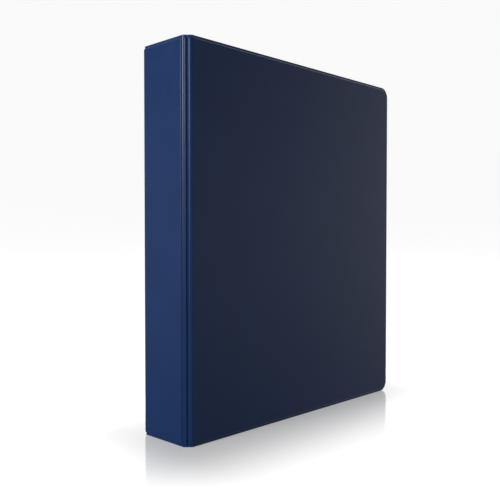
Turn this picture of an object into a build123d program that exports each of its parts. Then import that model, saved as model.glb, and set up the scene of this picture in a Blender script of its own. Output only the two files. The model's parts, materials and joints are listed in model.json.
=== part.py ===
from build123d import *
import os
from math import sqrt

# Ring binder: a heat-sealed vinyl case around three boards, with a four-ring D mechanism riveted
# inside its back cover. It stands upright: +Z is up, the spine faces -X, the front cover faces -Y
# and the fore edge is at +X. All sizes are in millimetres.

os.makedirs("parts", exist_ok=True)

# Case: outside sizes
case_height = 318.0
case_depth = 278.0
case_thickness = 60.0
corner_radius = 10.0
rivet_head_height = 0.6

# Case: layers of one panel, and the thin rim where its two sheets are welded together
sheet_thickness = 0.4
board_thickness = 2.2
panel_thickness = board_thickness + 2 * sheet_thickness
rim_width = 1.5
board_inset = 2.7
drape_angle = 35.0
edge_softness = 0.4

# Hinges: each fold line lies in the middle of its panels, this far from the corner of the case
hinge_reach = 6.5
fold_bead_radius = 0.45
fold_gap = 0.75
narrow_ridge_width = 1.7
narrow_ridge_height = 0.9
wide_ridge_width = 2.9
wide_ridge_height = 1.1
weld_width = 0.8

# Pockets inside the covers
pocket_start = 61.0
pocket_height = 150.0
pocket_depth = 1.2
pocket_weld = 3.0
pocket_corner_radius = 7.0
thumb_notch_radius = 14.0

# Ring mechanism: its centre line, from the outside of the spine
mechanism_reach = 41.0
ring_offsets = (-120.0, -40.0, 40.0, 120.0)
rivet_offsets = (-100.0, 100.0)

# Housing: an arched steel strip with rolled edges
housing_half_length = 134.5
housing_half_width = 11.0
housing_wall = 0.8
housing_wall_height = 3.6
housing_crown = 6.6
roll_width = 1.6
roll_height = 1.6
end_notch_half_width = 9.3
end_notch_length = 7.5

# Carrier plates: each turns on its outer edge and sags a little towards the middle when shut
plate_axis_offset = 9.5
plate_axis_height = 2.25
plate_thickness = 1.0
plate_width = 9.35
plate_sag = 4.0
plate_half_length = 128.0
post_clearance_radius = 3.7

# Rings: round wire, two halves that meet in a half lap beside the top of the straight leg
wire_radius = 1.7
leg_offset = 7.0
wire_foot = 2.75
ring_top = 47.8
ring_left = 28.5
ring_low = 9.2
foot_bend = 4.0
lower_bend = 13.0
upper_bend = 17.5
top_bend = 6.0
lap_bottom = 37.0
lap_top = 40.0
lap_end_gap = 0.15
lap_face_gap = 0.05
tenon_radius = 1.0
tenon_head_radius = 1.5
tenon_bottom = 0.95
tenon_head_height = 0.5
slot_clearance = 0.35
slot_travel = 0.7

# Opening levers: a barrel on a pin, a forked nose that holds the plates, a bent thumb handle
pivot_reach = 131.0
pivot_height = 2.4
pin_radius = 0.9
pin_clearance = 0.05
pin_head_radius = 1.5
pin_head_height = 0.5
barrel_radius = 1.9
barrel_half_width = 9.0
finger_length = 4.5
finger_half_width = 2.5
lower_finger_bottom = 0.15
lower_finger_thickness = 0.7
upper_finger_bottom = 3.12
upper_finger_thickness = 0.6
handle_half_width = 7.0
handle_thickness = 1.2
handle_points = ((0.7, 3.2), (3.4, 9.0), (4.6, 15.5), (9.5, 18.5))
handle_bend = 5.0
handle_corner = 3.0
tolerance = 0.001

# Rivets and the spacer tubes around them
rivet_radius = 1.6
rivet_head_radius = 4.5
rivet_inner_head_radius = 3.2
rivet_inner_head_height = 0.9
spacer_radius = 3.0
spacer_height = 5.55

# Places worked out from the sizes above
mid_height = case_height / 2
half_panel = panel_thickness / 2
spine_face_x = -case_depth / 2
fore_edge_x = case_depth / 2
front_face_y = -(case_thickness + rivet_head_height) / 2
back_face_y = front_face_y + case_thickness
case_middle_y = (front_face_y + back_face_y) / 2
cover_start_x = spine_face_x + hinge_reach
cover_width = fore_edge_x - cover_start_x
cover_middle_x = (cover_start_x + fore_edge_x) / 2
spine_width = case_thickness - 2 * hinge_reach
mechanism_x = spine_face_x + mechanism_reach
seat_y = back_face_y - panel_thickness


def face_plane(x, y, normal, along):
    """A plane at mid height: its own x runs along the panel, its z runs out of the panel."""
    return Plane(origin=(x, y, mid_height), x_dir=along, z_dir=normal)


def section_plane(height):
    """A level plane through the mechanism: x across it, y away from the back cover."""
    return Plane(origin=(mechanism_x, seat_y, height), x_dir=(1, 0, 0), z_dir=(0, 0, -1))


front_outward = face_plane(cover_middle_x, front_face_y + half_panel, (0, -1, 0), (1, 0, 0))
front_inward = face_plane(cover_middle_x, front_face_y + half_panel, (0, 1, 0), (1, 0, 0))
back_outward = face_plane(cover_middle_x, back_face_y - half_panel, (0, 1, 0), (1, 0, 0))
back_inward = face_plane(cover_middle_x, back_face_y - half_panel, (0, -1, 0), (1, 0, 0))
spine_outward = face_plane(spine_face_x + half_panel, case_middle_y, (-1, 0, 0), (0, 1, 0))
spine_inward = face_plane(spine_face_x + half_panel, case_middle_y, (1, 0, 0), (0, 1, 0))
seat_plane = face_plane(mechanism_x, seat_y, (0, -1, 0), (1, 0, 0))
rivet_places = [(mechanism_x - cover_middle_x, offset) for offset in rivet_offsets]


def save(part, name):
    """Label one finished piece and write it as its own STEP file."""
    part.label = name
    export_step(part, f"parts/{name}.step")


def panel_outline(width, inset, radius):
    """Draw one panel face on in the current sketch; a cover has round corners at its fore edge."""
    Rectangle(width - 2 * inset, case_height - 2 * inset)
    if radius > inset:
        fillet(vertices().group_by(Axis.X)[-1], radius - inset)


# Case: sheets, boards, hinge strips and pockets


def vinyl_sheet(plane, width, radius, hinge_sides):
    """One welded sheet: a thin rim, and a shallow tray that wraps half of the board."""
    with BuildPart() as sheet:
        with BuildSketch(plane):
            panel_outline(width, 0, radius)
            with Locations(*[(side * (width - fold_gap) / 2, 0) for side in hinge_sides]):
                Rectangle(fold_gap, case_height, mode=Mode.SUBTRACT)
        extrude(amount=sheet_thickness)
        with BuildSketch(plane):
            panel_outline(width, rim_width, radius)
        extrude(amount=half_panel, taper=drape_angle)
        top = faces().sort_by(Axis(plane.origin, plane.z_dir))[-1]
        fillet(top.edges(), edge_softness)
        with BuildSketch(plane):
            panel_outline(width, board_inset, radius)
        extrude(amount=board_thickness / 2, mode=Mode.SUBTRACT)
    return sheet


def board(plane, width, radius):
    """One stiff board, square cut, inside its two sheets."""
    with BuildPart() as panel:
        with BuildSketch(plane):
            panel_outline(width, board_inset, radius)
        extrude(amount=board_thickness / 2, both=True)
    return panel


def punched(piece, plane):
    """The same piece with the two rivet holes through it."""
    with BuildPart() as result:
        add(piece.part)
        with BuildSketch(plane):
            with Locations(*rivet_places):
                Circle(rivet_radius)
        extrude(amount=panel_thickness, both=True, mode=Mode.SUBTRACT)
    return result


def ridge(start, width, height):
    """Draw the outer line of one raised ridge of the hinge strip, starting at the given place."""
    ThreePointArc(
        (start, fold_bead_radius),
        (start + width / 2, fold_bead_radius + height),
        (start + width, fold_bead_radius),
    )


def hinge_strip():
    """The flexible strip at the front corner: two fold lines, two welds and two soft ridges."""
    length = (hinge_reach - half_panel) * sqrt(2)
    narrow_start = weld_width
    wide_start = narrow_start + narrow_ridge_width + weld_width
    bead = fold_bead_radius
    corner = Plane(
        origin=(spine_face_x + half_panel, front_face_y + hinge_reach, mid_height),
        x_dir=(1, -1, 0),
        z_dir=(0, 0, -1),
    )
    with BuildPart() as strip:
        with BuildSketch(corner):
            with BuildLine():
                Line((0, bead), (narrow_start, bead))
                ridge(narrow_start, narrow_ridge_width, narrow_ridge_height)
                Line((narrow_start + narrow_ridge_width, bead), (wide_start, bead))
                ridge(wide_start, wide_ridge_width, wide_ridge_height)
                Line((wide_start + wide_ridge_width, bead), (length, bead))
                ThreePointArc((length, bead), (length + bead, 0), (length, -bead))
                Line((length, -bead), (0, -bead))
                ThreePointArc((0, -bead), (-bead, 0), (0, bead))
            make_face()
        extrude(amount=mid_height, both=True)
    return strip


def pocket(plane):
    """A shallow document pocket, welded on three sides and open at the top."""
    width = case_depth - pocket_start - board_inset - sheet_thickness
    left = pocket_start + spine_face_x - cover_middle_x
    bottom = board_inset + sheet_thickness - mid_height
    with BuildPart() as sleeve:
        with BuildSketch(plane):
            with Locations((left, bottom)):
                Rectangle(width, pocket_height, align=Align.MIN)
            fillet(vertices().group_by(Axis.Y)[0].sort_by(Axis.X)[-1], pocket_corner_radius)
            with Locations((left + width / 2, bottom + pocket_height)):
                Circle(thumb_notch_radius, mode=Mode.SUBTRACT)
        extrude(amount=pocket_depth)
        with BuildSketch(plane):
            with Locations((left + pocket_weld, bottom + pocket_weld)):
                Rectangle(width - 2 * pocket_weld, pocket_height, align=Align.MIN)
        extrude(amount=pocket_depth - sheet_thickness, mode=Mode.SUBTRACT)
    return sleeve


def make_case():
    """All pieces of the case: three panels of three layers, two hinge strips, two pockets."""
    hinge_side = (-1,)
    both_sides = (-1, 1)
    front_vinyl = vinyl_sheet(front_outward, cover_width, corner_radius, hinge_side)
    save(front_vinyl.part, "front_cover_vinyl")
    front_liner = vinyl_sheet(front_inward, cover_width, corner_radius, hinge_side)
    save(front_liner.part, "front_cover_liner")
    save(board(front_outward, cover_width, corner_radius).part, "front_cover_board")

    back_vinyl = vinyl_sheet(back_outward, cover_width, corner_radius, hinge_side)
    save(punched(back_vinyl, back_outward).part, "back_cover_vinyl")
    back_liner = vinyl_sheet(back_inward, cover_width, corner_radius, hinge_side)
    save(punched(back_liner, back_inward).part, "back_cover_liner")
    back_board = board(back_outward, cover_width, corner_radius)
    save(punched(back_board, back_outward).part, "back_cover_board")

    save(vinyl_sheet(spine_outward, spine_width, 0, both_sides).part, "spine_vinyl")
    save(vinyl_sheet(spine_inward, spine_width, 0, both_sides).part, "spine_liner")
    save(board(spine_outward, spine_width, 0).part, "spine_board")

    front_strip = hinge_strip()
    save(front_strip.part, "front_hinge_strip")
    with BuildPart() as back_strip:
        mirror(front_strip.part, about=Plane.XZ.offset(-case_middle_y))
    save(back_strip.part, "back_hinge_strip")

    back_pocket = pocket(back_inward.offset(half_panel))
    save(back_pocket.part, "back_pocket")
    with BuildPart() as front_pocket:
        mirror(back_pocket.part, about=Plane.XZ.offset(-case_middle_y))
    save(front_pocket.part, "front_pocket")


# Ring mechanism


def ring_housing():
    """The arched strip with rolled edges, ring slots, rivet holes and open, drilled ends."""
    inner_half_width = housing_half_width - housing_wall
    inner_wall_height = housing_wall_height - housing_wall / 4
    inner_crown = housing_crown - housing_wall
    slot_width = 2 * (wire_radius + slot_clearance)
    with BuildPart() as housing:
        with BuildSketch(section_plane(mid_height)):
            with BuildLine():
                Polyline(
                    (housing_half_width, housing_wall_height),
                    (housing_half_width, 0),
                    (housing_half_width - roll_width, 0),
                    (housing_half_width - roll_width, roll_height),
                    (inner_half_width, roll_height),
                    (inner_half_width, inner_wall_height),
                )
                mirror(about=Plane.YZ)
                ThreePointArc(
                    (-housing_half_width, housing_wall_height),
                    (0, housing_crown),
                    (housing_half_width, housing_wall_height),
                )
                ThreePointArc(
                    (-inner_half_width, inner_wall_height),
                    (0, inner_crown),
                    (inner_half_width, inner_wall_height),
                )
            make_face()
            lowest = vertices().group_by(Axis.Y)[0]
            fillet(lowest, housing_wall / 2)
        extrude(amount=housing_half_length, both=True)
        with BuildSketch(seat_plane):
            for side in (-1, 1):
                with Locations(*[(side * (leg_offset + slot_travel / 2), z) for z in ring_offsets]):
                    RectangleRounded(slot_width + slot_travel, slot_width, wire_radius)
            with Locations(*[(0, z) for z in rivet_offsets]):
                Circle(rivet_radius)
            notch_middle = housing_half_length - end_notch_length / 2
            with Locations((0, notch_middle), (0, -notch_middle)):
                Rectangle(2 * end_notch_half_width, end_notch_length)
        extrude(amount=housing_crown, mode=Mode.SUBTRACT)
        with BuildSketch(pin_plane()):
            with Locations(*pin_places()):
                Circle(pin_radius)
        extrude(amount=housing_half_width, both=True, mode=Mode.SUBTRACT)
    return housing


def pin_plane():
    """The upright plane through the middle of the mechanism: x up the binder, y off the cover."""
    return Plane(origin=(mechanism_x, seat_y, mid_height), x_dir=(0, 0, 1), z_dir=(1, 0, 0))


def pin_places():
    """Where the two lever pins cross that plane."""
    return ((pivot_reach, pivot_height), (-pivot_reach, pivot_height))


def carrier_plate(side):
    """One flat plate that carries four ring halves; side is 1 at the fore edge, -1 at the spine."""
    with BuildPart() as plate:
        with BuildSketch(section_plane(mid_height)):
            axis_place = (side * plate_axis_offset, plate_axis_height)
            with Locations(Location(axis_place + (0,), (0, 0, side * plate_sag))):
                with Locations((-side * plate_width / 2, 0)):
                    Rectangle(plate_width, plate_thickness)
            with Locations(axis_place):
                Circle(plate_thickness / 2)
        extrude(amount=plate_half_length, both=True)
        with BuildSketch(seat_plane):
            with Locations(*[(side * leg_offset, z) for z in ring_offsets]):
                Circle(tenon_radius)
            with Locations(*[(0, z) for z in rivet_offsets]):
                Circle(post_clearance_radius)
        extrude(amount=housing_crown, mode=Mode.SUBTRACT)
    return plate


def ring_half(offset, points, bends, lap_side):
    """One bent wire with its riveted foot; lap_side is the half of the lap that it keeps."""
    foot = points[0][0]
    lap_height = lap_top - lap_bottom + lap_end_gap
    lap_middle = (lap_top + lap_bottom + lap_side * lap_end_gap) / 2
    with BuildPart() as half:
        with BuildLine(section_plane(mid_height + offset)) as route:
            if bends:
                FilletPolyline(*points, radius=bends)
            else:
                Line(*points)
        with BuildSketch(Plane(origin=route.line @ 0, z_dir=route.line % 0)):
            Circle(wire_radius)
        sweep()
        fillet(edges().filter_by(GeomType.CIRCLE).sort_by_distance(route.line @ 1)[0], wire_radius / 4)
        with BuildSketch(seat_plane.offset(tenon_bottom)):
            with Locations((foot, offset)):
                Circle(tenon_radius)
        extrude(amount=wire_foot - tenon_bottom)
        with BuildSketch(seat_plane.offset(tenon_bottom)):
            with Locations((foot, offset)):
                Circle(tenon_head_radius)
        extrude(amount=tenon_head_height)
        with BuildSketch(seat_plane.offset(lap_middle)):
            with Locations((leg_offset, offset - lap_side * (wire_radius - lap_face_gap))):
                Rectangle(4 * wire_radius, 2 * wire_radius)
        extrude(amount=lap_height / 2, both=True, mode=Mode.SUBTRACT)
    return half


def opening_lever():
    """The top lever: barrel with a pin bore, two fingers around the plates, a thumb handle."""
    middle = (mechanism_x, seat_y, mid_height + pivot_reach)
    plane = Plane(origin=middle, x_dir=(0, 0, 1), z_dir=(1, 0, 0))
    with BuildPart() as lever:
        with BuildSketch(plane):
            with Locations((0, pivot_height)):
                Circle(barrel_radius)
        extrude(amount=barrel_half_width, both=True)
        with BuildSketch(plane):
            with BuildLine() as handle:
                FilletPolyline(*handle_points, radius=handle_bend)
            trace(handle.line, line_width=handle_thickness)
        extrude(amount=handle_half_width, both=True)
        thin_edges = edges().filter_by(lambda edge: abs(edge.length - handle_thickness) < tolerance)
        fillet(thin_edges.sort_by_distance(handle.line @ 1)[:2], handle_corner)
        with BuildSketch(plane):
            with Locations((0, lower_finger_bottom)):
                Rectangle(finger_length, lower_finger_thickness, align=(Align.MAX, Align.MIN))
            with Locations((0, upper_finger_bottom)):
                Rectangle(finger_length, upper_finger_thickness, align=(Align.MAX, Align.MIN))
            with Locations((0, lower_finger_bottom)):
                Rectangle(barrel_radius, pivot_height, align=(Align.MAX, Align.MIN))
        extrude(amount=finger_half_width, both=True)
        with BuildSketch(plane):
            with Locations((0, pivot_height)):
                Circle(pin_radius + pin_clearance)
        extrude(amount=barrel_half_width, both=True, mode=Mode.SUBTRACT)
    return lever


def lever_pins():
    """The two headed pins that the levers turn on."""
    with BuildPart() as pins:
        with BuildSketch(pin_plane()):
            with Locations(*pin_places()):
                Circle(pin_radius)
        extrude(amount=housing_half_width, both=True)
        for side in (-1, 1):
            with BuildSketch(pin_plane().offset(side * housing_half_width)):
                with Locations(*pin_places()):
                    Circle(pin_head_radius)
            extrude(amount=side * pin_head_height)
    return pins


def rivets():
    """Two rivets: flat head outside the back cover, shank, closed head on the housing."""
    outside = seat_plane.offset(-panel_thickness)
    with BuildPart() as pair:
        with BuildSketch(outside):
            with Locations(*[(0, z) for z in rivet_offsets]):
                Circle(rivet_radius)
        extrude(amount=panel_thickness + housing_crown)
        with BuildSketch(outside):
            with Locations(*[(0, z) for z in rivet_offsets]):
                Circle(rivet_head_radius)
        extrude(amount=-rivet_head_height, taper=drape_angle)
        with BuildSketch(seat_plane.offset(housing_crown)):
            with Locations(*[(0, z) for z in rivet_offsets]):
                Circle(rivet_inner_head_radius)
        extrude(amount=rivet_inner_head_height, taper=drape_angle)
    return pair


def spacers():
    """Two tubes that hold the housing off the cover, around the rivets."""
    with BuildPart() as tubes:
        with BuildSketch(seat_plane):
            with Locations(*[(0, z) for z in rivet_offsets]):
                Circle(spacer_radius)
                Circle(rivet_radius, mode=Mode.SUBTRACT)
        extrude(amount=spacer_height)
    return tubes


def make_mechanism():
    """Housing, plates, eight ring halves, levers, pins, rivets and spacers."""
    save(ring_housing().part, "ring_housing")
    save(carrier_plate(-1).part, "spine_side_carrier_plate")
    save(carrier_plate(1).part, "fore_side_carrier_plate")
    curved_points = (
        (-leg_offset, wire_foot),
        (-leg_offset, ring_low),
        (-ring_left, ring_low),
        (-ring_left, ring_top),
        (leg_offset, ring_top),
        (leg_offset, lap_bottom),
    )
    straight_points = ((leg_offset, wire_foot), (leg_offset, lap_top))
    for number, offset in enumerate(ring_offsets, start=1):
        bends = (foot_bend, lower_bend, upper_bend, top_bend)
        curved = ring_half(offset, curved_points, bends, 1)
        save(curved.part, f"curved_ring_half_{number}")
        straight = ring_half(offset, straight_points, None, -1)
        save(straight.part, f"straight_ring_half_{number}")
    top_lever = opening_lever()
    save(top_lever.part, "top_opening_lever")
    with BuildPart() as bottom_lever:
        mirror(top_lever.part, about=Plane.XY.offset(mid_height))
    save(bottom_lever.part, "bottom_opening_lever")
    save(lever_pins().part, "lever_pivot_pins")
    save(rivets().part, "housing_rivets")
    save(spacers().part, "rivet_spacers")


make_case()
make_mechanism()
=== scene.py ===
import json
from math import cos, pi, radians, sin, sqrt

import bpy
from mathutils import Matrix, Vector, noise


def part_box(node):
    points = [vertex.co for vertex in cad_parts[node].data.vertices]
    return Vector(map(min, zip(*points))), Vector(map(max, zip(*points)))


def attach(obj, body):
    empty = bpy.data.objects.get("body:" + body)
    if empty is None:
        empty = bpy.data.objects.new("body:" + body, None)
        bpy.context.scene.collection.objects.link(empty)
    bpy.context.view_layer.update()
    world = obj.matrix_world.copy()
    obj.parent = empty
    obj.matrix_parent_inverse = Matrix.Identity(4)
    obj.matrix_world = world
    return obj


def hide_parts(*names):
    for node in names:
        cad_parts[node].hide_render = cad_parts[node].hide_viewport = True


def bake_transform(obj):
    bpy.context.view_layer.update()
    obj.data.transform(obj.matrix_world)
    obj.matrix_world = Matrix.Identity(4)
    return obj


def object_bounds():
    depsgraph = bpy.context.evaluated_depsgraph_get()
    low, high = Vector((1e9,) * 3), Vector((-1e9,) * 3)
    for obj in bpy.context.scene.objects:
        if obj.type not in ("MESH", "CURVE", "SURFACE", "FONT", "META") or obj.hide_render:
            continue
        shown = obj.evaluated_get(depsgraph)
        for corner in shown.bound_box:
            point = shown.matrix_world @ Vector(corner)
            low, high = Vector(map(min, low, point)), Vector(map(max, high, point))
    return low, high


# Ring binder: a heat-sealed navy vinyl case with a D-ring mechanism inside its back cover.
# Lengths are in metres, in the frame of the CAD model: +Z up, spine at -X, front cover at -Y.

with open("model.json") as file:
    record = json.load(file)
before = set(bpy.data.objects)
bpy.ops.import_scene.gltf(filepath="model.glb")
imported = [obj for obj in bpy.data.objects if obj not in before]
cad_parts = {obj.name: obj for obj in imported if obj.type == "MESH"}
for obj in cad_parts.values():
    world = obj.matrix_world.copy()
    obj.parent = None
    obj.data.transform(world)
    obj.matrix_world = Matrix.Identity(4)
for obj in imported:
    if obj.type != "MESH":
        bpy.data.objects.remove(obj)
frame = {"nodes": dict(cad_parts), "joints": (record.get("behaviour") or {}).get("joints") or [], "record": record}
cad_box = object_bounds()
MM = 0.001

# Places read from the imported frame
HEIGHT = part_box("front_cover_vinyl")[1].z
FORE_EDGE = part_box("front_cover_vinyl")[1].x
JOINTS = {joint["name"]: joint for joint in frame["joints"]}


def fold_line(joint):
    """Where a fold line stands in plan, from its joint."""
    return Vector(JOINTS[joint]["pos_m"][:2])


COVER_FOLD = {side: fold_line(f"{side}_cover_fold") for side in ("front", "back")}
SPINE_FOLD = {side: fold_line(f"{side}_spine_fold") for side in ("front", "back")}
STRIP_WIDTH = (COVER_FOLD["front"] - SPINE_FOLD["front"]).length
SPINE_WIDTH = (SPINE_FOLD["back"] - SPINE_FOLD["front"]).length

# Section of the case: heights are above the middle of the panel
HALF_PANEL = 1.5 * MM
SHEET = 0.38 * MM
THINNEST = 0.01 * MM
CORNER_RADIUS = 10 * MM

# Welded edge: a rounded lip, a weld line, and the slope onto the board
RIM = 0.4 * MM
LIP_WIDTH = 0.3 * MM
LIP_START = 0.35
EDGE_WELD_MIDDLE, EDGE_WELD_HALF_WIDTH, EDGE_WELD_DEPTH = 1.35 * MM, 0.35 * MM, 0.12 * MM
EDGE_SLOPE_START, EDGE_SLOPE_END = 1.3 * MM, 2.9 * MM

# Hinge: creases at the cover's fold, the weld at the spine's fold, and the ridges between them
OUTER_CREASE = 0.95 * MM
INNER_CREASE = 0.45 * MM
COVER_SLOPE_START, COVER_SLOPE_END = 0.4 * MM, 2.6 * MM
SPINE_WELD = 0.25 * MM
SPINE_SLOPE_START, SPINE_SLOPE_END = 0.1 * MM, 1.1 * MM
NARROW_MIDDLE, NARROW_HALF_WIDTH, NARROW_HEIGHT = 1.9 * MM, 1.1 * MM, 1.1 * MM
WIDE_MIDDLE, WIDE_HALF_WIDTH, WIDE_HEIGHT = 5.4 * MM, 1.65 * MM, 1.25 * MM
INSIDE_HALF_WIDTH, INSIDE_HEIGHT = 2.4 * MM, 0.25 * MM
CREASE_RISE = 0.7 * MM
CREASE_START = 5.8 * MM

# Faint unevenness of the sheets, and the part of the full height above which it shows
WAVE_DEPTH = 0.05 * MM
WAVES_PER_METRE = 22
WAVE_ROW = 3.7
FLAT_SHARE = 0.95

# Grid of the sheets, and where one sheet ends and the next begins
FINE_STEP = 0.17 * MM
FINE_REACH = 3.2 * MM
CORNER_STEP = 0.85 * MM
COARSE_STEP = 12 * MM
SEAM_ON_STRIP = 3.4 * MM
SEAM_ON_SPINE = 5 * MM
SHARP_ANGLE = radians(50)


# Section heights of the vinyl


def smooth(value, start, end):
    """0 before start, 1 after end, and a smooth rise between them."""
    t = min(max((value - start) / (end - start), 0), 1)
    return t * t * (3 - 2 * t)


def ridge(value, middle, half_width, height):
    """A round ridge on a flat."""
    return height * max(0, 1 - ((value - middle) / half_width) ** 2)


def edge_height(distance):
    """From a welded edge inwards: a thin rim, a weld line, then the sheet climbs onto the board."""
    lip = sqrt(1 - (1 - min(distance / LIP_WIDTH, 1)) ** 2)
    weld = ridge(distance, EDGE_WELD_MIDDLE, EDGE_WELD_HALF_WIDTH, EDGE_WELD_DEPTH)
    rise = smooth(distance, EDGE_SLOPE_START, EDGE_SLOPE_END)
    return RIM * (LIP_START + (1 - LIP_START) * lip) - weld + (HALF_PANEL - RIM) * rise


def cover_height(distance, outside):
    """From the cover's fold line onto its board: a shallow crease outside, a weld inside."""
    crease = OUTER_CREASE if outside else INNER_CREASE
    rise = smooth(distance, COVER_SLOPE_START, COVER_SLOPE_END)
    return crease + (HALF_PANEL - crease) * rise


def spine_height(distance):
    """From the spine's fold line, which is a deep weld groove, onto the spine board."""
    rise = smooth(distance, SPINE_SLOPE_START, SPINE_SLOPE_END)
    return SPINE_WELD + (HALF_PANEL - SPINE_WELD) * rise


def strip_height(distance, outside):
    """Across the hinge strip from the spine's fold: outside a narrow and a wide ridge, inside one."""
    if not outside:
        return INNER_CREASE + ridge(distance, STRIP_WIDTH / 2, INSIDE_HALF_WIDTH, INSIDE_HEIGHT)
    narrow = ridge(distance, NARROW_MIDDLE, NARROW_HALF_WIDTH, NARROW_HEIGHT)
    wide = ridge(distance, WIDE_MIDDLE, WIDE_HALF_WIDTH, WIDE_HEIGHT)
    crease = CREASE_RISE * smooth(distance, CREASE_START, STRIP_WIDTH)
    return SPINE_WELD + narrow + wide + crease


def waviness(x, z):
    """The faint unevenness of a sheet over board, in metres."""
    return WAVE_DEPTH * noise.noise(Vector((x * WAVES_PER_METRE, WAVE_ROW, z * WAVES_PER_METRE)))


# Grid lines


def steps(start, end, step):
    """Evenly spaced values from start to end, about step apart."""
    count = max(1, round((end - start) / step))
    return [start + (end - start) * i / count for i in range(count + 1)]


def edge_steps():
    """Distances from an edge: fine over the weld and the slope, then up to the corner's centre."""
    return steps(0, FINE_REACH, FINE_STEP) + steps(FINE_REACH, CORNER_RADIUS, CORNER_STEP)[1:]


def rows():
    """Heights of the grid's level lines, from the bottom edge to the top edge."""
    low = edge_steps()
    middle = steps(CORNER_RADIUS, HEIGHT - CORNER_RADIUS, COARSE_STEP)
    return low + middle[1:-1] + [HEIGHT - z for z in reversed(low)]


def column(point, outward, height, to_edge=None):
    """One upright line of a sheet's grid: place in plan, direction out, height there."""
    return {"point": point, "outward": outward, "height": height, "to_edge": to_edge}


def mitre(first, second):
    """The outward direction on a fold line between two panels, long enough to meet both."""
    total = first + second
    return total * (2 / total.length_squared)


def directions(side):
    """Directions in plan at one corner of the case, along each panel and outward."""
    out = -1 if side == "front" else 1
    strip_along = (COVER_FOLD[side] - SPINE_FOLD[side]).normalized()
    return {
        "cover_out": Vector((0, out)),
        "strip_along": strip_along,
        "strip_out": Vector((-abs(strip_along.y), out * abs(strip_along.x))),
        "spine_along": Vector((0, -out)),
        "spine_out": Vector((-1, 0)),
    }


def cover_columns(side, outside):
    """From the weld in the hinge strip, over the cover's fold line, to the fore edge."""
    way = directions(side)
    columns = []
    for u in steps(SEAM_ON_STRIP, STRIP_WIDTH, FINE_STEP)[:-1]:
        point = SPINE_FOLD[side] + way["strip_along"] * u
        columns.append(column(point, way["strip_out"], strip_height(u, outside)))
    start = COVER_FOLD[side]
    corner = mitre(way["strip_out"], way["cover_out"])
    columns.append(column(start, corner, cover_height(0, outside)))
    width = FORE_EDGE - start.x
    near = steps(0, FINE_REACH, FINE_STEP)[1:]
    flat = steps(FINE_REACH, width - CORNER_RADIUS, COARSE_STEP)[1:-1]
    far = [width - distance for distance in reversed(edge_steps())]
    for u in near + flat + far:
        point = Vector((start.x + u, start.y))
        columns.append(column(point, way["cover_out"], cover_height(u, outside), width - u))
    return columns


def fold_columns(side, outside):
    """From the spine's flat face, over the spine's fold line, to the weld in the hinge strip."""
    way = directions(side)
    columns = []
    for u in reversed(steps(0, SEAM_ON_SPINE, FINE_STEP)[1:]):
        point = SPINE_FOLD[side] + way["spine_along"] * u
        columns.append(column(point, way["spine_out"], spine_height(u)))
    corner = mitre(way["strip_out"], way["spine_out"])
    columns.append(column(SPINE_FOLD[side], corner, spine_height(0)))
    for u in steps(0, SEAM_ON_STRIP, FINE_STEP)[1:]:
        point = SPINE_FOLD[side] + way["strip_along"] * u
        columns.append(column(point, way["strip_out"], strip_height(u, outside)))
    return columns


def spine_columns():
    """The spine's flat face, between the two fold pieces."""
    way = directions("front")
    columns = []
    for u in steps(SEAM_ON_SPINE, SPINE_WIDTH - SEAM_ON_SPINE, COARSE_STEP / 3):
        point = SPINE_FOLD["front"] + way["spine_along"] * u
        columns.append(column(point, way["spine_out"], HALF_PANEL))
    return columns


# Sheets as closed shells


def round_corner(to_edge, to_end):
    """Move a grid point of a square corner onto arcs about the corner's centre."""
    near, far = sorted((to_edge, to_end))
    if far >= CORNER_RADIUS:
        return to_edge, to_end
    turn = pi / 4 * (far - near) / (CORNER_RADIUS - near)
    angle = pi / 4 - turn if to_edge < to_end else pi / 4 + turn
    radius = CORNER_RADIUS - near
    return CORNER_RADIUS - radius * cos(angle), CORNER_RADIUS - radius * sin(angle)


def sheet_point(line, z, sign, lift):
    """A point of the sheet on one grid line at height z, on its outer or under side."""
    to_end = min(z, HEIGHT - z)
    distance = to_end
    x, y = line["point"]
    if line["to_edge"] is not None:
        distance = min(line["to_edge"], to_end)
        to_edge, moved_end = round_corner(line["to_edge"], to_end)
        x = FORE_EDGE - to_edge
        z = moved_end if z < HEIGHT / 2 else HEIGHT - moved_end
    height = min(line["height"], edge_height(distance))
    if height > FLAT_SHARE * HALF_PANEL:
        height += waviness(x + y, z)
    height = max(height - lift, THINNEST)
    out = line["outward"] * (sign * height)
    return Vector((x + out.x, y + out.y, z))


def new_object(name, vertices, faces, material):
    """A smooth-shaded mesh object with one material."""
    mesh = bpy.data.meshes.new(name)
    mesh.from_pydata([tuple(v) for v in vertices], [], faces)
    mesh.validate()
    mesh.materials.append(material)
    piece = bpy.data.objects.new(name, mesh)
    bpy.context.scene.collection.objects.link(piece)
    mesh.shade_smooth()
    return piece


def shell(name, columns, outside, material):
    """A sheet of vinyl over a grid: outer face, under face and the four narrow edges."""
    levels = rows()
    sign = 1 if outside else -1
    wide, tall = len(columns), len(levels)
    vertices = []
    for lift in (0, SHEET):
        vertices += [sheet_point(line, z, sign, lift) for line in columns for z in levels]
    under = wide * tall
    faces = []
    for i in range(wide - 1):
        for j in range(tall - 1):
            a = i * tall + j
            quad = (a, a + 1, a + tall + 1, a + tall)
            faces.append(quad)
            faces.append(tuple(under + k for k in reversed(quad)))
    border = [i * tall for i in range(wide)]
    border += [(wide - 1) * tall + j for j in range(1, tall)]
    border += [i * tall + tall - 1 for i in range(wide - 2, -1, -1)]
    border += [j for j in range(tall - 2, 0, -1)]
    for a, b in zip(border, border[1:] + border[:1]):
        faces.append((a, b, under + b, under + a))
    piece = new_object(name, vertices, faces, material)
    face_outward(piece)
    piece.data.set_sharp_from_angle(angle=SHARP_ANGLE)
    return piece


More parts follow.
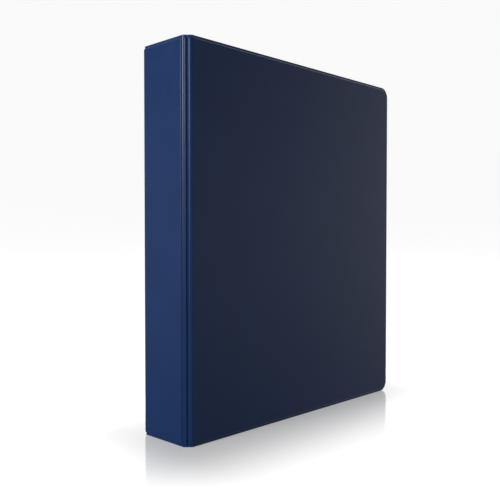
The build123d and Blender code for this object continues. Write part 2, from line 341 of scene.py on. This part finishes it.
def face_outward(piece):
    """Turn every face of a closed mesh outward."""
    bpy.context.view_layer.objects.active = piece
    piece.select_set(True)
    bpy.ops.object.mode_set(mode="EDIT")
    bpy.ops.mesh.select_all(action="SELECT")
    bpy.ops.mesh.normals_make_consistent(inside=False)
    bpy.ops.object.mode_set(mode="OBJECT")
    piece.select_set(False)


# Materials: texture scales are in cells per metre, and bump depths in metres

CLOUD_SCALE = 28
PATCH_SCALE = 90
FINER_GRAIN = 2.3
PEBBLE_DEPTH, PEBBLE_STRENGTH = 0.06 * MM, 0.35
FINE_DEPTH, FINE_STRENGTH = 0.03 * MM, 0.3
VINYL_IOR = 1.5
FIBRE_SCALE = 700
FIBRE_DEPTH, FIBRE_STRENGTH = 0.1 * MM, 0.5
FIBRE_DARK, FIBRE_LIGHT = (0.22, 0.2, 0.17), (0.46, 0.44, 0.4)
BOARD_ROUGHNESS = 0.9
TARNISH_SCALE = 120
LINE_SCALE = 2200
LINE_DEPTH, LINE_STRENGTH = 0.015 * MM, 0.25
SMOOTHER = 0.04
ROUGHER_VINYL = 0.05
ROUGHER_METAL = 0.08
FACTOR_START, FACTOR_END = 0.25, 0.75


def new_material(name):
    """A node material, with its node tree and its shader."""
    material = bpy.data.materials.new(name)
    material.use_nodes = True
    tree = material.node_tree
    shader = tree.nodes["Principled BSDF"]
    return material, tree, shader


def node(tree, kind, **settings):
    """A node of that kind, with its settings given by name."""
    made = tree.nodes.new(kind)
    for name, value in settings.items():
        setattr(made, name, value)
    return made


def noise_texture(tree, scale, detail=3.0, stretch=(1, 1, 1)):
    """Noise in the object's own coordinates, in cells per metre."""
    place = node(tree, "ShaderNodeTexCoord")
    mapping = node(tree, "ShaderNodeMapping")
    mapping.inputs["Scale"].default_value = stretch
    texture = node(tree, "ShaderNodeTexNoise")
    texture.inputs["Scale"].default_value = scale
    texture.inputs["Detail"].default_value = detail
    tree.links.new(place.outputs["Object"], mapping.inputs["Vector"])
    tree.links.new(mapping.outputs["Vector"], texture.inputs["Vector"])
    return texture


def cells(tree, scale):
    """Rounded cells in the object's own coordinates, the pebbles of an embossed grain."""
    place = node(tree, "ShaderNodeTexCoord")
    texture = node(tree, "ShaderNodeTexVoronoi", feature="SMOOTH_F1")
    texture.inputs["Scale"].default_value = scale
    tree.links.new(place.outputs["Object"], texture.inputs["Vector"])
    return texture


def colour_between(tree, factor, low, high, start=0.3, end=0.7):
    """A colour ramp from low to high over part of the factor's range."""
    ramp = node(tree, "ShaderNodeValToRGB")
    ramp.color_ramp.elements[0].position = start
    ramp.color_ramp.elements[0].color = (*low, 1)
    ramp.color_ramp.elements[1].position = end
    ramp.color_ramp.elements[1].color = (*high, 1)
    tree.links.new(factor, ramp.inputs["Fac"])
    return ramp.outputs["Color"]


def value_between(tree, factor, low, high):
    """A value from low to high over the middle half of the factor's range."""
    span = node(tree, "ShaderNodeMapRange")
    span.inputs["From Min"].default_value = FACTOR_START
    span.inputs["From Max"].default_value = FACTOR_END
    span.inputs["To Min"].default_value = low
    span.inputs["To Max"].default_value = high
    tree.links.new(factor, span.inputs["Value"])
    return span.outputs["Result"]


def bump(tree, shader, height, depth, strength, under=None):
    """Bump of that depth in metres on the shader, over an earlier bump if given."""
    made = node(tree, "ShaderNodeBump")
    made.inputs["Strength"].default_value = strength
    made.inputs["Distance"].default_value = depth
    tree.links.new(height, made.inputs["Height"])
    if under:
        tree.links.new(under, made.inputs["Normal"])
    tree.links.new(made.outputs["Normal"], shader.inputs["Normal"])
    return made.outputs["Normal"]


def vinyl(name, dark, light, roughness, grain):
    """Plasticised vinyl: embossed pebble grain, faint cloudiness, satin shine."""
    material, tree, shader = new_material(name)
    cloud = noise_texture(tree, CLOUD_SCALE, 4)
    colour = colour_between(tree, cloud.outputs["Fac"], dark, light)
    tree.links.new(colour, shader.inputs["Base Color"])
    patch = noise_texture(tree, PATCH_SCALE, 5)
    low, high = roughness - SMOOTHER, roughness + ROUGHER_VINYL
    shine = value_between(tree, patch.outputs["Fac"], low, high)
    tree.links.new(shine, shader.inputs["Roughness"])
    pebbles = cells(tree, grain)
    first = bump(tree, shader, pebbles.outputs["Distance"], PEBBLE_DEPTH, PEBBLE_STRENGTH)
    fine = noise_texture(tree, grain * FINER_GRAIN, 2)
    bump(tree, shader, fine.outputs["Fac"], FINE_DEPTH, FINE_STRENGTH, first)
    shader.inputs["IOR"].default_value = VINYL_IOR
    return material


def greyboard(name):
    """Pressed grey board: mottled fibres, quite rough."""
    material, tree, shader = new_material(name)
    fibre = noise_texture(tree, FIBRE_SCALE, 6, (1, 1, 0.25))
    colour = colour_between(tree, fibre.outputs["Fac"], FIBRE_DARK, FIBRE_LIGHT)
    tree.links.new(colour, shader.inputs["Base Color"])
    shader.inputs["Roughness"].default_value = BOARD_ROUGHNESS
    bump(tree, shader, fibre.outputs["Fac"], FIBRE_DEPTH, FIBRE_STRENGTH)
    return material


def plated(name, dark, light, roughness, brushed):
    """Plated steel: faint tarnish, fine draw lines, small changes of shine."""
    material, tree, shader = new_material(name)
    tarnish = noise_texture(tree, TARNISH_SCALE, 4)
    colour = colour_between(tree, tarnish.outputs["Fac"], dark, light)
    tree.links.new(colour, shader.inputs["Base Color"])
    shader.inputs["Metallic"].default_value = 1.0
    lines = noise_texture(tree, LINE_SCALE, 2, brushed)
    low, high = roughness - SMOOTHER, roughness + ROUGHER_METAL
    shine = value_between(tree, lines.outputs["Fac"], low, high)
    tree.links.new(shine, shader.inputs["Roughness"])
    bump(tree, shader, lines.outputs["Fac"], LINE_DEPTH, LINE_STRENGTH)
    return material


NAVY_DARK = (0.003, 0.031, 0.133)
NAVY_LIGHT = (0.004, 0.036, 0.152)
NAVY_ROUGHNESS = 0.34
NAVY_GRAIN = 1500
LINER_DARK = (0.006, 0.034, 0.13)
LINER_LIGHT = (0.007, 0.04, 0.15)
POCKET_DARK = (0.008, 0.044, 0.165)
POCKET_LIGHT = (0.009, 0.05, 0.19)
HOUSING_DARK, HOUSING_LIGHT = (0.66, 0.64, 0.6), (0.75, 0.73, 0.69)
WIRE_DARK, WIRE_LIGHT = (0.68, 0.66, 0.62), (0.78, 0.76, 0.72)
LEVER_DARK, LEVER_LIGHT = (0.66, 0.64, 0.6), (0.76, 0.74, 0.7)
RIVET_DARK, RIVET_LIGHT = (0.64, 0.62, 0.58), (0.74, 0.72, 0.68)
ZINC_DARK, ZINC_LIGHT = (0.48, 0.48, 0.49), (0.6, 0.6, 0.6)
materials = {
    "navy_vinyl": vinyl("navy_vinyl", NAVY_DARK, NAVY_LIGHT, NAVY_ROUGHNESS, NAVY_GRAIN),
    "hinge_vinyl": vinyl("hinge_vinyl", NAVY_DARK, NAVY_LIGHT, NAVY_ROUGHNESS, NAVY_GRAIN),
    "liner_vinyl": vinyl("liner_vinyl", LINER_DARK, LINER_LIGHT, 0.45, 1300),
    "pocket_vinyl": vinyl("pocket_vinyl", POCKET_DARK, POCKET_LIGHT, 0.28, 900),
    "greyboard": greyboard("greyboard"),
    "nickel_housing": plated("nickel_housing", HOUSING_DARK, HOUSING_LIGHT, 0.16, (1, 1, 0.03)),
    "nickel_wire": plated("nickel_wire", WIRE_DARK, WIRE_LIGHT, 0.14, (0.2, 0.2, 1)),
    "nickel_lever": plated("nickel_lever", LEVER_DARK, LEVER_LIGHT, 0.16, (0.05, 1, 1)),
    "nickel_rivet": plated("nickel_rivet", RIVET_DARK, RIVET_LIGHT, 0.2, (1, 1, 1)),
    "zinc_plate": plated("zinc_plate", ZINC_DARK, ZINC_LIGHT, 0.36, (1, 1, 0.05)),
}


def dress_nodes():
    """Give every CAD node the material of its slot."""
    for part in frame["record"]["subparts"]:
        mesh = frame["nodes"][part["node"]].data
        mesh.materials.clear()
        mesh.materials.append(materials[part["material_slot"]])


# The case


def make_half(side):
    """The skins of one cover and of the spine's fold beside it, outside and inside."""
    for outside in (True, False):
        face = "outer" if outside else "inner"
        slot = "navy_vinyl" if outside else "liner_vinyl"
        columns = cover_columns(side, outside)
        skin = shell(f"{side}_cover_{face}_skin", columns, outside, materials[slot])
        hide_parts(f"{side}_cover_vinyl" if outside else f"{side}_cover_liner")
        bend(skin)
        columns = fold_columns(side, outside)
        fold = shell(f"{side}_spine_fold_{face}_skin", columns, outside, materials[slot])
        bend(fold)
        if outside:
            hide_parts(f"{side}_hinge_strip")


def bend(skin):
    """Bake a skin's placement into its mesh; the skin is not made to flex."""
    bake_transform(skin)


def make_spine():
    """The flat skins of the spine, outside and inside."""
    for outside in (True, False):
        face = "outer" if outside else "inner"
        slot = "navy_vinyl" if outside else "liner_vinyl"
        skin = shell(f"spine_{face}_skin", spine_columns(), outside, materials[slot])
        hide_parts("spine_vinyl" if outside else "spine_liner")
        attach(skin, "spine")


# Stage, light and camera

# Sky: dim all round, a soft band at eye level, and a bright side past the fore edge and back cover
DIM_SKY = 0.12
HORIZON_SKY = 0.26
HORIZON_TOP = 0.35
BRIGHT_SKY = 1.1
BRIGHT_WAY = Vector((0.8, 0.55, 0.2)).normalized()
BRIGHT_START, BRIGHT_END = 0.3, 0.95

# Floor: a disc that bends up into a wall, glossier close to the binder, with painted shade there: it glows less
# close to the binder
FLOOR_RINGS = (0.02, 0.3, 1.0)
FLOOR_RADIUS = 3.5
FLOOR_BEND = 1.0
WALL_HEIGHT = 6.0
FLOOR_SIDES = 96
FLOOR_DARK, FLOOR_LIGHT = (0.5, 0.5, 0.51), (0.53, 0.53, 0.53)
FLOOR_CLOUD_SCALE = 3
FLOOR_ROUGHNESS = 0.1
FLOOR_IOR = 1.9
# How far from the binder the painted shade and the extra gloss of the floor reach
SHADE_AND_GLOSS_REACH = 105 * MM
# Glow of the floor close to the binder and further out: the weaker glow close by is painted shade
PAINTED_SHADE_GLOW, GLOW_FAR = 0.31, 0.85
SHINE_NEAR, SHINE_FAR = 0.8, 0.0

# Key lamp, on the spine side
KEY_PLACE = (-1.25, -0.03, 0.62)
KEY_TARGET = (-FORE_EDGE, 0, HEIGHT * 0.6)
KEY_SIZE = (0.35, 0.5)
KEY_POWER = 10.0
KEY_COLOUR = (1.0, 0.99, 0.97)

# Camera: its place is in heights of the binder, from the foot of the front spine corner
CAMERA_PLACE = Vector((-1.0478, -1.2270, 0.5208))
CAMERA_TURN = radians(45.85)
CAMERA_DOWN = radians(1.38)
LENS = 48.25
SENSOR = 36


def look_at(thing, place, target):
    """Put a lamp or camera at a place, pointing at the target."""
    thing.location = place
    thing.rotation_euler = (Vector(target) - Vector(place)).to_track_quat("-Z", "Y").to_euler()


def add_lamp(name, place, target, size, power, colour):
    """A soft rectangular lamp."""
    data = bpy.data.lights.new(name, "AREA")
    data.shape = "RECTANGLE"
    data.size, data.size_y = size
    data.energy = power
    data.color = colour
    lamp = bpy.data.objects.new(name, data)
    bpy.context.scene.collection.objects.link(lamp)
    look_at(lamp, place, target)


def link_chain(tree, start, *steps_made):
    """Link each node's first output to the next node's first input."""
    output = start
    for made in steps_made:
        tree.links.new(output, made.inputs[0])
        output = made.outputs[0]
    return output


def vector_step(tree, operation, value=None):
    """One vector operation, with its second input if it has one."""
    made = node(tree, "ShaderNodeVectorMath", operation=operation)
    if value:
        made.inputs[1].default_value = value
    return made


def span_node(tree, source, start, end, low, high):
    """A smooth change from low to high as the source goes from start to end."""
    span = node(tree, "ShaderNodeMapRange", interpolation_type="SMOOTHSTEP")
    for name, value in (("From Min", start), ("From Max", end), ("To Min", low), ("To Max", high)):
        span.inputs[name].default_value = value
    tree.links.new(source, span.inputs["Value"])
    return span.outputs["Result"]


def distance_from_case(tree):
    """How far a point of the floor is from the rectangle that the binder stands on."""
    place = node(tree, "ShaderNodeTexCoord")
    low, high = cad_box
    half = (Vector(high) - Vector(low)) / 2
    size = vector_step(tree, "ABSOLUTE")
    outside = vector_step(tree, "SUBTRACT", (half.x, half.y, 0))
    positive = vector_step(tree, "MAXIMUM", (0, 0, 0))
    length = node(tree, "ShaderNodeVectorMath", operation="LENGTH")
    link_chain(tree, place.outputs["Object"], size, outside, positive, length)
    return length.outputs["Value"]


def floor_material():
    """Pale acrylic, partly self-lit: glossy close to the binder, with painted shade there as a weaker glow;
    brighter and duller further out.
    """
    material, tree, shader = new_material("studio_floor")
    cloud = noise_texture(tree, FLOOR_CLOUD_SCALE, 3)
    colour = colour_between(tree, cloud.outputs["Fac"], FLOOR_DARK, FLOOR_LIGHT)
    tree.links.new(colour, shader.inputs["Base Color"])
    shader.inputs["Roughness"].default_value = FLOOR_ROUGHNESS
    shader.inputs["IOR"].default_value = FLOOR_IOR
    shader.inputs["Emission Color"].default_value = (1, 1, 1, 1)
    distance = distance_from_case(tree)
    # Painted shade: the floor glows less close to the binder
    painted_shade_glow = span_node(tree, distance, 0, SHADE_AND_GLOSS_REACH, PAINTED_SHADE_GLOW, GLOW_FAR)
    tree.links.new(painted_shade_glow, shader.inputs["Emission Strength"])
    shine = span_node(tree, distance, 0, SHADE_AND_GLOSS_REACH, SHINE_NEAR, SHINE_FAR)
    tree.links.new(shine, shader.inputs["Specular IOR Level"])
    return material


def add_floor():
    """A round pale floor that curves up into a wall all around, seen only by the camera."""
    profile = [(radius, 0.0) for radius in (*FLOOR_RINGS, FLOOR_RADIUS)]
    for a in steps(0, pi / 2, pi / 32)[1:]:
        profile.append((FLOOR_RADIUS + FLOOR_BEND * sin(a), FLOOR_BEND * (1 - cos(a))))
    profile.append((FLOOR_RADIUS + FLOOR_BEND, WALL_HEIGHT))
    vertices = []
    for i in range(FLOOR_SIDES):
        turn = 2 * pi * i / FLOOR_SIDES
        vertices += [(r * cos(turn), r * sin(turn), z) for r, z in profile]
    count = len(profile)
    faces = [tuple(i * count for i in range(FLOOR_SIDES))]
    for i in range(FLOOR_SIDES):
        j = (i + 1) % FLOOR_SIDES
        for k in range(count - 1):
            faces.append((i * count + k, i * count + k + 1, j * count + k + 1, j * count + k))
    mesh = bpy.data.meshes.new("studio_floor")
    mesh.from_pydata(vertices, [], faces)
    mesh.materials.append(floor_material())
    mesh.shade_smooth()
    floor = bpy.data.objects.new("studio_floor", mesh)
    bpy.context.scene.collection.objects.link(floor)
    floor.visible_diffuse = False
    floor.visible_glossy = False
    floor.visible_shadow = False


def add_world():
    """Dim light around the binder, a soft band at eye level, and a bright studio behind it."""
    world = bpy.data.worlds.new("studio_world")
    world.use_nodes = True
    tree = world.node_tree
    place = node(tree, "ShaderNodeTexCoord")
    facing = node(tree, "ShaderNodeVectorMath", operation="DOT_PRODUCT")
    facing.inputs[1].default_value = BRIGHT_WAY
    tree.links.new(place.outputs["Generated"], facing.inputs[0])
    studio = span_node(tree, facing.outputs["Value"], BRIGHT_START, BRIGHT_END, 0, BRIGHT_SKY)
    parts = node(tree, "ShaderNodeSeparateXYZ")
    tree.links.new(place.outputs["Generated"], parts.inputs[0])
    height = node(tree, "ShaderNodeMath", operation="ABSOLUTE")
    tree.links.new(parts.outputs["Z"], height.inputs[0])
    band = span_node(tree, height.outputs[0], 0, HORIZON_TOP, DIM_SKY + HORIZON_SKY, DIM_SKY)
    total = node(tree, "ShaderNodeMath", operation="ADD")
    tree.links.new(studio, total.inputs[0])
    tree.links.new(band, total.inputs[1])
    background = tree.nodes["Background"]
    background.inputs["Color"].default_value = (1, 1, 1, 1)
    tree.links.new(total.outputs[0], background.inputs["Strength"])
    bpy.context.scene.world = world


def add_camera():
    """The viewpoint: level with the middle of the binder, off its front spine corner."""
    corner = Vector((-FORE_EDGE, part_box("front_cover_vinyl")[0].y, 0))
    place = corner + CAMERA_PLACE * HEIGHT
    level = cos(CAMERA_DOWN)
    facing = Vector((sin(CAMERA_TURN) * level, cos(CAMERA_TURN) * level, -sin(CAMERA_DOWN)))
    data = bpy.data.cameras.new("camera")
    data.lens = LENS
    data.sensor_width = SENSOR
    camera = bpy.data.objects.new("camera", data)
    bpy.context.scene.collection.objects.link(camera)
    look_at(camera, place, place + facing)
    bpy.context.scene.camera = camera


dress_nodes()
make_half("front")
make_half("back")
make_spine()
add_floor()
add_world()
add_lamp("key", KEY_PLACE, KEY_TARGET, KEY_SIZE, KEY_POWER, KEY_COLOUR)
add_camera()
bpy.context.scene.view_settings.view_transform = "Standard"
